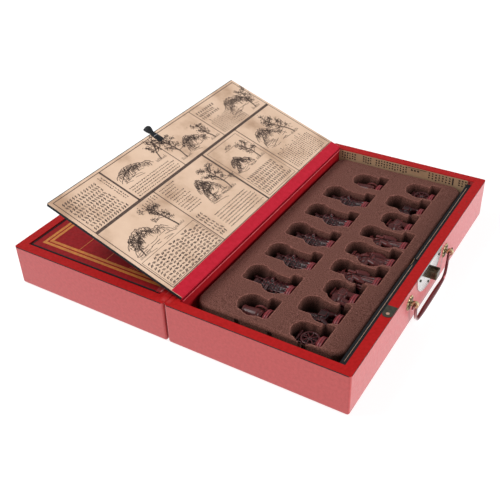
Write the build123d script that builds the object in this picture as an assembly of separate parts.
from build123d import *
import os
from math import cos, pi, sin

# A folding xiangqi (Chinese chess) box, laid open. Millimetres, +Z up.
# Two equal halves lie side by side, joined by leather along the spine at rim level.
# The right half's lid stands open over the left half, whose lid is shut.
# The origin is the middle of the right half's underside. +X runs from the spine to
# the handle, and the spine and both lid hinges run along Y.
# Each half is drawn in its own frame: x = 0 at its outer spine face, y = 0 at mid
# length, z = 0 underneath.

# ---- Box halves
HALF_W = 148.0
LENGTH = 280.0
HALF_H = 37.0
SPINE_GAP = 1.6
WALL = 8.0
RIM_BAND = 0.6
CORNER_R = 1.6
BOTTOM_EDGE_R = 2.4
FLOOR = 3.5
REBATE = 3.0
INNER_X = HALF_W - WALL
INNER_Y = LENGTH / 2 - WALL

# ---- Lining paper and ledge
LINING = 0.35
LINING_TOP = HALF_H - 0.8
LEDGE_W = 5.4

# ---- Lid, in its shut place
LID_OPEN = 160.0
LID_TOP = HALF_H - 1.1
FIELD_T = 0.3
BOARD_T = 2.3
PAPER_T = 0.3
LID_BASE = LID_TOP - FIELD_T - BOARD_T - PAPER_T
LEDGE_TOP = LID_BASE - 0.1
LID_X0 = WALL + 2.9
LID_X1 = INNER_X - 0.7
LID_Y = INNER_Y - 1.8
FLAP_W = 9.6
CLOTH_T = 0.4
HINGE_X = WALL + 1.5
HINGE_Z = HALF_H - 0.6
ROLL_R = 0.7

# ---- Spine leather
LEAF_T = 0.3
LEAF_DROP = 12.0
SPINE_ROLL_R = 0.45
FOLD_Z = HALF_H + 0.25

# ---- Pull tab
TAB_W = 7.0
TAB_T = 0.4
TAB_IN = 12.0
TAB_OUT = 8.2
NOTCH = 1.2
STAPLE_WIRE = 0.45
STAPLE_SPAN = 5.0
STAPLE_LEG = 1.5
STAPLE_BACK = 4.5

# ---- Foam tray and pockets
TRAY_X0 = WALL + 2.5
TRAY_X1 = INNER_X - LEDGE_W - 2.7
TRAY_Y0 = 10.0 - INNER_Y
TRAY_Y1 = INNER_Y - 1.0
TRAY_CORNER = 11.0
TRAY_ROLL = 5.0
POCKET_FLOOR = 9.8
POCKET_GAP = 1.0
WELL_HALF = 8.2
WELL_R = 3.0
SLOT_HALF = 10.0
# Round hollows of each pocket: distance from the base's underside, offset in Y, radius.
HOLLOWS = {
    "soldier": [(13.0, -5.0, 11.0), (33.0, 2.5, 8.6)],
    "cannon": [(15.5, 0.5, 11.0)],
    "chariot": [(13.5, -1.0, 10.4)],
    "horse": [(10.5, -4.0, 10.6), (23.5, 2.5, 8.6)],
    "elephant": [(10.5, -4.0, 10.8), (16.5, 2.0, 9.0)],
    "advisor": [(16.0, -4.0, 10.6), (31.0, 0.5, 8.2)],
    "general": [(16.0, -3.6, 11.4), (30.5, -0.5, 9.2)],
}

# ---- Chessmen, lying on their backs: base towards +X, head towards -X
BASE_R = 8.5
BASE_T = 3.4
STEP_R = 7.1
STEP_T = 1.4
RING_SIDES = 12
MAN_LENGTH = {
    "soldier": 39.5,
    "cannon": 23.5,
    "chariot": 22.5,
    "horse": 31.0,
    "elephant": 24.0,
    "advisor": 37.5,
    "general": 38.0,
}

# ---- Places of the chessmen in the tray
MAN_Z = POCKET_FLOOR + BASE_R
TRAY_TOP = MAN_Z + BASE_R + 0.8
ROW_GAP = 15.0
MIDDLE_ROW_X = TRAY_X1 - 12.5
BACK_ROW_X = MIDDLE_ROW_X - 6.6
FRONT_ROW_X = MIDDLE_ROW_X - MAN_LENGTH["general"] - ROW_GAP
CANNON_X = FRONT_ROW_X - 0.8
ROW_MID_Y = (TRAY_Y0 + TRAY_Y1) / 2 - 4.0
BACK_PITCH = (TRAY_Y1 - TRAY_Y0) / 2 / 4.7
SOLDIER_PITCH = (TRAY_Y1 - TRAY_Y0) / 7.4
CANNON_Y = (TRAY_Y1 - TRAY_Y0) / 2 - 25.7

# ---- Latch
PLATE_A = 26.0
PLATE_B = 21.0
PLATE_T = 0.8
PLATE_TOP = HALF_H - 0.4
NAIL_R = 1.1
NAIL_H = 0.7
NAIL_SPOTS = [
    (6.4 - PLATE_A, PLATE_TOP - 4.0),
    (PLATE_A - 6.4, PLATE_TOP - 4.0),
    (0.0, PLATE_TOP - PLATE_B + 3.4),
]
LOOP_Z = PLATE_TOP - 8.1
LOOP_W = 6.5
LOOP_HALF = 4.2
LOOP_OUT = 8.0
LOOP_BAR = 1.2
HASP_PIN_Z = HALF_H - 5.0
HASP_PIN_OUT = 2.6
HASP_PIN_R = 0.9
HASP_REACH = 2 * FOLD_Z - HASP_PIN_Z - LOOP_Z
HASP_FIT = 0.08
KNUCKLE_R = 1.5
KNUCKLE_LEN = 6.4
KNUCKLE_GAP = 0.4
STRAP_W = 19.0
STRAP_T = 1.0
STRAP_END = STRAP_W / 2 - 1.0
SLOT_W = 10.6
SLOT_H = 8.6

# ---- Handle
POST_Y = 37.8
POST_Z = HALF_H - 12.6
POST_OUT = 4.4
ROSETTE_R = 6.2
ROSETTE_T = 1.1
BOSS_T = 0.5
STUD_R = 1.4
PETALS = 10
EYE_R = 2.7
EYE_T = 2.4
PIN_R = 1.05
PIN_FIT = 0.08
BAIL_DROP = 21.6
BAIL_MID_R = 2.0
BAIL_TIP = 3.2
BAIL_BEND = 1.6
BAIL_LEAN = 1.5
BAIL_CORNER = 8.0

# ---- Rim strike plate and pins
STRIKE_Y = -69.0
STRIKE_LEN = 13.0
STRIKE_W = 7.8
STRIKE_T = 0.3
RIVET_R = 1.3
RIVET_T = 0.12
RIM_PIN_R = 0.45
RIM_PIN_Y = [77.6, 97.5]
RIM_PIN_T = 0.12
RIM_PIN_OFF = 0.6

BASED = (Align.CENTER, Align.CENTER, Align.MIN)
TO_RIGHT = Pos(-HALF_W / 2, 0, 0)
TO_LEFT = Pos(-HALF_W / 2 - SPINE_GAP, 0, 0) * Rot(0, 0, 180)
OPEN_LID = Pos(HINGE_X, 0, HINGE_Z) * Rot(0, -LID_OPEN, 0) * Pos(-HINGE_X, 0, -HINGE_Z)


def slab(x0, x1, y0, y1, z0, z1):
    """A block between two corners."""
    return Pos((x0 + x1) / 2, (y0 + y1) / 2, (z0 + z1) / 2) * Box(x1 - x0, y1 - y0, z1 - z0)


def rod_x(x0, x1, y, z, radius):
    return Pos((x0 + x1) / 2, y, z) * Rot(0, 90, 0) * Cylinder(radius, x1 - x0)


def rod_y(x, y0, y1, z, radius):
    return Pos(x, (y0 + y1) / 2, z) * Rot(90, 0, 0) * Cylinder(radius, y1 - y0)


def write(name, solids):
    """One node: a single solid or a group of separate ones."""
    shape = Compound(children=list(solids)) if isinstance(solids, list) else solids
    export_step(shape, f"parts/{name}.step")


def write_half(name, right_shape, left_shape=None):
    """The same piece on both halves, the left one turned half a turn about Z."""
    left_shape = right_shape if left_shape is None else left_shape
    write(f"right_{name}", TO_RIGHT * right_shape)
    write(f"left_{name}", TO_LEFT * left_shape)


# ---------------------------------------------------------------- box halves
def box_walls():
    """Wrapped wall frame: rounded outside, rebated below for the bottom board."""
    outer = slab(0, HALF_W, -LENGTH / 2, LENGTH / 2, 0, HALF_H - RIM_BAND)
    outer = fillet(outer.edges().filter_by(Axis.Z), CORNER_R)
    outer = fillet(outer.faces().sort_by(Axis.Z)[0].edges(), BOTTOM_EDGE_R)
    well = slab(WALL, INNER_X, -INNER_Y, INNER_Y, -1, HALF_H)
    return outer - well - bottom_panel()


def bottom_panel():
    edge = WALL - REBATE
    return slab(edge, HALF_W - edge, edge - LENGTH / 2, LENGTH / 2 - edge, 0, FLOOR)


def rim_band():
    """Flat band glued on top of the walls."""
    outer = slab(0, HALF_W, -LENGTH / 2, LENGTH / 2, HALF_H - RIM_BAND, HALF_H)
    outer = fillet(outer.edges().filter_by(Axis.Z), CORNER_R)
    return outer - slab(WALL, INNER_X, -INNER_Y, INNER_Y, 0, HALF_H + 1)


def tab_notch():
    """Room for the ribbon, where it passes between the lid and its ledge."""
    half = TAB_W / 2 + 0.5
    return slab(INNER_X - LEDGE_W - 1, INNER_X, -half, half, LEDGE_TOP - NOTCH, HALF_H)


def wall_lining():
    """Paper on the two end walls, and in front of the ledge."""
    x1 = INNER_X - LEDGE_W
    ends = [
        slab(WALL + CLOTH_T, x1, -INNER_Y, LINING - INNER_Y, FLOOR, LINING_TOP),
        slab(WALL + CLOTH_T, x1, INNER_Y - LINING, INNER_Y, FLOOR, LINING_TOP),
    ]
    side = slab(x1 - LINING, x1, -INNER_Y, INNER_Y, FLOOR, LEDGE_TOP)
    return ends[0] + ends[1] + side - tab_notch()


def lid_ledge():
    ledge = slab(INNER_X - LEDGE_W, INNER_X, -INNER_Y, INNER_Y, FLOOR, LEDGE_TOP)
    return ledge - tab_notch()


def hinge_cloth():
    top = HALF_H - 0.4
    return slab(WALL, WALL + CLOTH_T, LINING - INNER_Y, INNER_Y - LINING, FLOOR, top)


def hinge_roll():
    return rod_y(HINGE_X, -LID_Y, LID_Y, HINGE_Z, ROLL_R)


# ---------------------------------------------------------------- lid, shut
def lid_board():
    top = LID_TOP - FIELD_T
    return slab(LID_X0, LID_X1, -LID_Y, LID_Y, top - BOARD_T, top) - tab_staple()


def play_field():
    return slab(LID_X0, LID_X1, -LID_Y, LID_Y, LID_TOP - FIELD_T, LID_TOP)


def lid_paper():
    sheet = slab(LID_X0 + FLAP_W, LID_X1, -LID_Y, LID_Y, LID_BASE, LID_BASE + PAPER_T)
    return sheet - tab_staple()


def hinge_flap():
    """Cloth on the inner face, wrapped up the lid's hinge edge."""
    flat = slab(LID_X0, LID_X0 + FLAP_W, -LID_Y, LID_Y, LID_BASE, LID_BASE + PAPER_T)
    edge = slab(LID_X0 - CLOTH_T, LID_X0, -LID_Y, LID_Y, LID_BASE, LID_TOP)
    return flat + edge


def pull_tab_out():
    """Ribbon lying straight out past the free edge, as on the open lid."""
    top = LID_BASE
    ribbon = slab(LID_X1 - TAB_IN, LID_X1 + TAB_OUT, -TAB_W / 2, TAB_W / 2, top - TAB_T, top)
    return ribbon - tab_staple()


def pull_tab_up():
    """Ribbon turned up round the free edge and back over the lid, as on the shut lid."""
    half = TAB_W / 2
    x1 = LID_X1 + TAB_T
    under = slab(LID_X1 - TAB_IN, x1, -half, half, LID_BASE - TAB_T, LID_BASE)
    rise = slab(LID_X1, x1, -half, half, LID_BASE, LID_TOP)
    over = slab(LID_X1 - TAB_OUT, x1, -half, half, LID_TOP, LID_TOP + TAB_T)
    return under + rise + over - tab_staple()


def tab_staple():
    """Wire crown across the ribbon, its two legs driven into the lid board."""
    x = LID_X1 - STAPLE_BACK
    z = LID_BASE - TAB_T
    half = STAPLE_SPAN / 2
    crown = slab(x, x + STAPLE_WIRE, -half, half, z - STAPLE_WIRE, z)
    legs = [
        slab(x, x + STAPLE_WIRE, y, y + STAPLE_WIRE, z, z + STAPLE_LEG)
        for y in (-half, half - STAPLE_WIRE)
    ]
    return crown + legs[0] + legs[1]


# ---------------------------------------------------------------- spine leather
def spine_leaf():
    y = LENGTH / 2 - CORNER_R
    return slab(-LEAF_T, 0, -y, y, HALF_H - LEAF_DROP, HALF_H)


def spine_roll():
    y = LENGTH / 2 - CORNER_R
    return rod_y(-SPINE_GAP / 2, -y, y, FOLD_Z, SPINE_ROLL_R)


# ---------------------------------------------------------------- latch
def latch_plate():
    """Half ellipse, its flat side along the wall's top edge."""
    face = Plane(origin=(HALF_W, 0, PLATE_TOP), x_dir=(0, 1, 0), z_dir=(1, 0, 0))
    lower = Pos(0, -PLATE_B / 2) * Rectangle(2 * PLATE_A, PLATE_B)
    outline = Ellipse(PLATE_A, PLATE_B) & lower
    return extrude(face * outline, PLATE_T)


def latch_nails(spots):
    """Round-headed nails through the plate into the wall."""
    out = HALF_W + PLATE_T
    nails = []
    for y, z in spots:
        head = Pos(out, y, z) * Rot(0, 90, 0) * Sphere(NAIL_R)
        head = head & slab(out, out + NAIL_H, y - NAIL_R, y + NAIL_R, z - NAIL_R, z + NAIL_R)
        nails.append(head)
    return nails


def latch_loop():
    """Square-ended U band, open along Z, standing out from the plate."""
    x0 = HALF_W + PLATE_T
    x1 = HALF_W + LOOP_OUT
    outer = slab(x0, x1, -LOOP_HALF, LOOP_HALF, LOOP_Z - LOOP_W / 2, LOOP_Z + LOOP_W / 2)
    outer = fillet(outer.edges().filter_by(Axis.Z).group_by(Axis.X)[-1], LOOP_BAR)
    y = LOOP_HALF - LOOP_BAR
    return outer - slab(x0 - 1, x1 - LOOP_BAR, -y, y, 0, HALF_H)


def knuckle(y0, y1, bore):
    x = HALF_W + HASP_PIN_OUT
    return rod_y(x, y0, y1, HASP_PIN_Z, KNUCKLE_R) - rod_y(x, y0 - 1, y1 + 1, HASP_PIN_Z, bore)


def hasp_plate():
    """The left latch plate, with two knuckles on webs for the hasp's pin."""
    plate = latch_plate()
    x = HALF_W + HASP_PIN_OUT
    for side in (-1, 1):
        y0, y1 = sorted([side * KNUCKLE_LEN / 2, side * STRAP_W / 2])
        y0, y1 = y0 + KNUCKLE_GAP / 2, y1 - KNUCKLE_GAP / 2
        web = slab(HALF_W + PLATE_T, x, y0, y1, HASP_PIN_Z - KNUCKLE_R, HASP_PIN_Z + KNUCKLE_R)
        web -= rod_y(x, y0 - 1, y1 + 1, HASP_PIN_Z, HASP_PIN_R)
        plate += web + knuckle(y0, y1, HASP_PIN_R)
    return plate


def hasp_strap():
    """Slotted strap hanging from its knuckle, with a rounded end."""
    x = HALF_W + HASP_PIN_OUT
    x0 = x - STRAP_T / 2
    x1 = x + STRAP_T / 2
    slot_z = HASP_PIN_Z - HASP_REACH
    shoulder = HASP_PIN_Z - KNUCKLE_R - KNUCKLE_GAP
    strap = slab(x0, x1, -STRAP_W / 2, STRAP_W / 2, slot_z - STRAP_END, shoulder)
    strap = fillet(strap.edges().filter_by(Axis.X).group_by(Axis.Z)[0], STRAP_END * 0.76)
    neck_y = KNUCKLE_LEN / 2 - KNUCKLE_GAP / 2
    bore = HASP_PIN_R + HASP_FIT
    neck = slab(x0, x1, -neck_y, neck_y, shoulder, HASP_PIN_Z)
    neck -= rod_y(x, -STRAP_W, STRAP_W, HASP_PIN_Z, bore)
    strap += neck + knuckle(-neck_y, neck_y, bore)
    slot = slab(x0 - 1, x1 + 1, -SLOT_W / 2, SLOT_W / 2, slot_z - SLOT_H / 2, slot_z + SLOT_H / 2)
    return strap - slot


def hasp_pin():
    x = HALF_W + HASP_PIN_OUT
    return rod_y(x, -STRAP_W / 2 - 0.4, STRAP_W / 2 + 0.4, HASP_PIN_Z, HASP_PIN_R)


# ---------------------------------------------------------------- handle
def rosette(y):
    """Scalloped disc with a raised middle."""
    petal = ROSETTE_R * 0.26
    ring = ROSETTE_R - petal
    outline = Circle(ring)
    for spot in PolarLocations(ring, PETALS):
        outline += spot * Circle(petal)
    face = Plane(origin=(HALF_W, y, POST_Z), x_dir=(0, 1, 0), z_dir=(1, 0, 0))
    disc = extrude(face * outline, ROSETTE_T)
    boss = face * Pos(0, 0, ROSETTE_T) * Cone(ring * 0.7, ring * 0.4, BOSS_T, align=BASED)
    return disc + boss


def eye_post(y):
    """Stud with a flat round eye, bored along Y for the bail."""
    x = HALF_W + POST_OUT
    stud = rod_x(HALF_W + ROSETTE_T + BOSS_T, x, y, POST_Z, STUD_R)
    eye = rod_y(x, y - EYE_T / 2, y + EYE_T / 2, POST_Z, EYE_R)
    return stud + eye - rod_y(x, y - EYE_T, y + EYE_T, POST_Z, PIN_R + PIN_FIT)


def bail():
    """Hanging bail: pins out through the eyes, curved arms, a spindle-shaped grip."""
    x = HALF_W + POST_OUT
    bar_z = POST_Z - BAIL_DROP
    arm_y = POST_Y - EYE_T / 2 - 0.4 - PIN_R
    with BuildLine(Plane(origin=(x, 0, 0), x_dir=(0, 1, 0), z_dir=(1, 0, 0))) as route:
        Polyline(
            (-POST_Y - BAIL_TIP, POST_Z),
            (-arm_y, POST_Z),
            (-arm_y + BAIL_LEAN, bar_z),
            (arm_y - BAIL_LEAN, bar_z),
            (arm_y, POST_Z),
            (POST_Y + BAIL_TIP, POST_Z),
        )
    line = route.wire()
    corners = sorted(line.vertices(), key=lambda v: v.Z)
    line = line.fillet_2d(BAIL_CORNER, corners[:2])
    tops = sorted(line.vertices(), key=lambda v: (-round(v.Z, 3), abs(v.Y)))
    line = line.fillet_2d(BAIL_BEND, tops[:2])
    start = Plane(origin=(x, -POST_Y - BAIL_TIP, POST_Z), z_dir=(0, 1, 0))
    rod = sweep(start * Circle(PIN_R), path=line)
    half = arm_y - BAIL_LEAN - BAIL_CORNER
    grip = Part()
    for side in (-1, 1):
        cone = Cone(BAIL_MID_R, PIN_R, half, align=BASED)
        grip += Pos(x, 0, bar_z) * Rot(-90 * side, 0, 0) * cone
    end = POST_Y + BAIL_TIP
    near_tip = rod_y(x, -end - 1, -end, POST_Z, PIN_R * 1.4)
    far_tip = rod_y(x, end, end + 1, POST_Z, PIN_R * 1.4)
    return rod + grip + near_tip + far_tip


# ---------------------------------------------------------------- rim fittings
def strike_plate():
    """Thin plate across the rim, one end round."""
    x = HALF_W - WALL / 2
    body = Pos(x, STRIKE_Y, HALF_H) * Box(STRIKE_W, STRIKE_LEN, STRIKE_T, align=BASED)
    front = body.edges().filter_by(Axis.Z).group_by(Axis.Y)[0]
    return fillet(front, STRIKE_W / 2 - 0.1)


def strike_rivet():
    x = HALF_W - WALL / 2
    y = STRIKE_Y - STRIKE_LEN / 2 + STRIKE_W / 2
    return Pos(x, y, HALF_H + STRIKE_T) * Cylinder(RIVET_R, RIVET_T, align=BASED)


def rim_pins():
    x = HALF_W - WALL / 2
    return [
        Pos(x + RIM_PIN_OFF, y, HALF_H) * Cylinder(RIM_PIN_R, RIM_PIN_T, align=BASED)
        for y in RIM_PIN_Y
    ]


# ---------------------------------------------------------------- chessmen
# Each is drawn with its base disc's underside at x = 0 and its height along -X,
# its back down (-Z), with the base's axis at z = 0.
def stack(*rings):
    """A body through oval rings, each given as (x, y, z, half-width in Y, half-width in Z)."""
    faces = []
    for x, y, z, ry, rz in rings:
        turns = [2 * pi * (i + 0.5) / RING_SIDES for i in range(RING_SIDES)]
        points = [(y + ry * cos(t), z + rz * sin(t)) for t in turns]
        plane = Plane(origin=(x, 0, 0), x_dir=(0, 1, 0), z_dir=(1, 0, 0))
        faces.append(plane * make_face(Polyline(*points, close=True)))
    return loft(faces, ruled=True)


def stand():
    """The two-step base that every piece has."""
    return rod_x(-BASE_T, 0, 0, 0, BASE_R) + rod_x(-BASE_T - STEP_T, -BASE_T, 0, 0, STEP_R)


def figure(length, hem, shoulder, head):
    """A robed standing figure: skirt, waist, shoulders and head, with the arms in front."""
    body = stack(
        (-BASE_T, 0, 0, hem, hem * 0.9),
        (-length * 0.40, 0, 0, hem * 0.78, hem * 0.8),
        (-length * 0.60, 0, 0, shoulder, shoulder * 0.85),
        (-length * 0.70, 0, 0, shoulder * 0.75, shoulder * 0.7),
        (-length * 0.73, 0, 0.3, head * 0.6, head * 0.6),
        (-length * 0.79, 0, 0.6, head, head * 1.05),
        (-length * 0.87, 0, 0.6, head * 0.8, head * 0.85),
    )
    arms = stack(
        (-length * 0.38, 0, 2.6, hem * 0.5, 2.4),
        (-length * 0.48, 0, 3.4, hem * 0.85, 3.4),
        (-length * 0.60, 0, 2.4, hem * 0.8, 2.6),
    )
    return stand() + body + arms


def soldier():
    length = MAN_LENGTH["soldier"]
    man = figure(length, 6.9, 7.2, 4.4)
    man += stack((-length * 0.84, 0, 0.6, 4.0, 4.0), (-length, 0, 0.6, 1.2, 1.2))
    return man + stack((-BASE_T, 7.2, 1.0, 0.9, 0.9), (-length * 0.94, 6.4, 1.0, 0.9, 0.9))


def advisor():
    length = MAN_LENGTH["advisor"]
    man = figure(length, 7.5, 6.8, 4.2)
    return man + slab(-length, -length * 0.84, -3.4, 3.4, -2.8, 3.2)


def general():
    length = MAN_LENGTH["general"]
    man = figure(length, 7.8, 7.6, 4.5)
    return man + slab(-length, -length * 0.85, -4.2, 4.2, -3.2, 3.6)


def elephant():
    length = MAN_LENGTH["elephant"]
    beast = stand() + stack(
        (-length * 0.24, 1.0, 0, 5.4, 4.6),
        (-length * 0.40, 1.0, 0, 7.2, 6.6),
        (-length * 0.66, 0.6, 0, 7.0, 6.8),
        (-length * 0.78, -1.0, 0.6, 5.0, 5.2),
        (-length * 0.90, -2.4, 0.8, 5.4, 5.2),
        (-length, -2.4, 0.8, 3.0, 3.0),
    )
    for y in (-3.6, 4.6):
        beast += stack((-BASE_T, y, 0, 2.9, 3.2), (-length * 0.45, y, 0, 2.7, 3.2))
    return beast + stack((-length * 0.30, -6.4, 2.0, 1.4, 1.5), (-length * 0.86, -5.6, 2.0, 2.2, 2.4))


def horse():
    length = MAN_LENGTH["horse"]
    beast = stand() + stack(
        (-length * 0.24, 2.0, 0, 4.4, 4.0),
        (-length * 0.42, 1.4, 0, 6.6, 5.6),
        (-length * 0.62, 0.6, 0.2, 5.2, 5.0),
        (-length * 0.76, -0.6, 0.6, 3.8, 3.6),
        (-length * 0.86, -2.6, 1.0, 5.0, 3.4),
        (-length * 0.95, -3.4, 1.0, 4.4, 2.8),
        (-length, -2.4, 1.0, 1.6, 1.6),
    )
    for y in (-3.6, 4.2):
        beast += stack((-BASE_T, y, 0, 2.1, 2.6), (-length * 0.45, y, 0, 2.3, 2.8))
    return beast


def chariot():
    length = MAN_LENGTH["chariot"]
    cart = stand() + slab(-length * 0.62, -BASE_T, -6.0, 6.0, -6.0, 4.0)
    cart += Pos(-length * 0.46, 0, 5.0) * Cylinder(6.8, 3.4)
    cart += slab(-length * 0.90, -length * 0.60, -4.4, 4.4, -5.0, 3.0)
    return cart + slab(-length, -length * 0.88, -6.8, 6.8, -6.0, 4.6)


def cannon():
    length = MAN_LENGTH["cannon"]
    gun = stand() + slab(-length * 0.56, -BASE_T, -5.2, 5.2, -5.0, 3.6)
    for y in (-6.2, 6.2):
        gun += rod_y(-length * 0.42, y - 1.1, y + 1.1, 0, 6.4)
    barrel = stack((-length * 0.40, 0, 0.8, 5.0, 5.0), (-length * 0.96, 0, 0.8, 4.0, 4.0))
    return gun + barrel + rod_x(-length, -length * 0.93, 0, 0.8, 4.8)


def back_row_y(place):
    """Nine places from chariot to chariot, the general in the middle."""
    return ROW_MID_Y + (place - 4) * BACK_PITCH


SPOTS = {
    "soldier": [(FRONT_ROW_X, ROW_MID_Y + i * SOLDIER_PITCH) for i in range(-2, 3)],
    "cannon": [(CANNON_X, ROW_MID_Y + side * CANNON_Y) for side in (-1, 1)],
    "chariot": [(BACK_ROW_X, back_row_y(place)) for place in (0, 8)],
    "horse": [(BACK_ROW_X, back_row_y(place)) for place in (1, 7)],
    "elephant": [(BACK_ROW_X, back_row_y(place)) for place in (2, 6)],
    "advisor": [(MIDDLE_ROW_X, back_row_y(place)) for place in (3, 5)],
    "general": [(MIDDLE_ROW_X, back_row_y(4))],
}
MEN = {
    "soldier": soldier,
    "cannon": cannon,
    "chariot": chariot,
    "horse": horse,
    "elephant": elephant,
    "advisor": advisor,
    "general": general,
}
PLURAL = {kind: kind + "s" for kind in MEN}
PLURAL["general"] = "general"


# ---------------------------------------------------------------- foam tray
def pocket(kind, x, y):
    """A slot for the base, a well for the figure and the round hollows beside it."""
    length = MAN_LENGTH[kind]
    base_len = BASE_T + STEP_T + 2 * POCKET_GAP
    outline = Pos(x + POCKET_GAP - base_len / 2, y) * Rectangle(base_len, 2 * SLOT_HALF)
    well_len = length + POCKET_GAP
    outline += Pos(x - well_len / 2, y) * RectangleRounded(well_len, 2 * WELL_HALF, WELL_R)
    for along, side, radius in HOLLOWS[kind]:
        outline += Pos(x - along, y + side) * Circle(radius)
    return extrude(Pos(0, 0, POCKET_FLOOR) * outline, TRAY_TOP - POCKET_FLOOR + 1)


def foam_tray():
    """Flocked tray with rounded corners, a rolled top edge and sixteen pockets."""
    tray = slab(TRAY_X0, TRAY_X1, TRAY_Y0, TRAY_Y1, FLOOR, TRAY_TOP)
    tray = fillet(tray.edges().filter_by(Axis.Z), TRAY_CORNER)
    tray = fillet(tray.faces().sort_by(Axis.Z)[-1].edges(), TRAY_ROLL)
    for kind, spots in SPOTS.items():
        for x, y in spots:
            tray -= pocket(kind, x, y)
    return tray


# ---------------------------------------------------------------- write the parts
os.makedirs("parts", exist_ok=True)

write_half("box_walls", box_walls())
write_half("bottom_panel", bottom_panel())
write_half("rim_band", rim_band())
write_half("wall_lining", wall_lining())
write_half("lid_ledge", lid_ledge())
write_half("hinge_cloth", hinge_cloth())
write_half("hinge_roll", hinge_roll())
write_half("foam_tray", foam_tray())
write_half("spine_leaf", spine_leaf())
write("spine_roll", TO_RIGHT * spine_roll())

write_half("lid_board", OPEN_LID * lid_board(), lid_board())
write_half("play_field", OPEN_LID * play_field(), play_field())
write_half("lid_paper", OPEN_LID * lid_paper(), lid_paper())
write_half("hinge_flap", OPEN_LID * hinge_flap(), hinge_flap())
write_half("pull_tab", OPEN_LID * pull_tab_out(), pull_tab_up())
write_half("tab_staple", OPEN_LID * tab_staple(), tab_staple())

write("right_latch_plate", TO_RIGHT * latch_plate())
write("left_latch_plate", TO_LEFT * hasp_plate())
write("right_latch_nails", [TO_RIGHT * nail for nail in latch_nails(NAIL_SPOTS)])
write("left_latch_nails", [TO_LEFT * nail for nail in latch_nails(NAIL_SPOTS)])
write("latch_loop", TO_RIGHT * latch_loop())
write("hasp_strap", TO_LEFT * hasp_strap())
write("hasp_pin", TO_LEFT * hasp_pin())

write("handle_rosettes", [TO_RIGHT * rosette(y) for y in (-POST_Y, POST_Y)])
write("handle_posts", [TO_RIGHT * eye_post(y) for y in (-POST_Y, POST_Y)])
write("handle_bail", TO_RIGHT * bail())
write("strike_plate", TO_RIGHT * strike_plate())
write("strike_rivet", TO_RIGHT * strike_rivet())
write("rim_pins", [TO_RIGHT * pin for pin in rim_pins()])

for kind, make in MEN.items():
    men = [Pos(x, y, MAN_Z) * make() for x, y in SPOTS[kind]]
    write(f"right_{PLURAL[kind]}", [TO_RIGHT * man for man in men])
    write(f"left_{PLURAL[kind]}", [TO_LEFT * man for man in men])
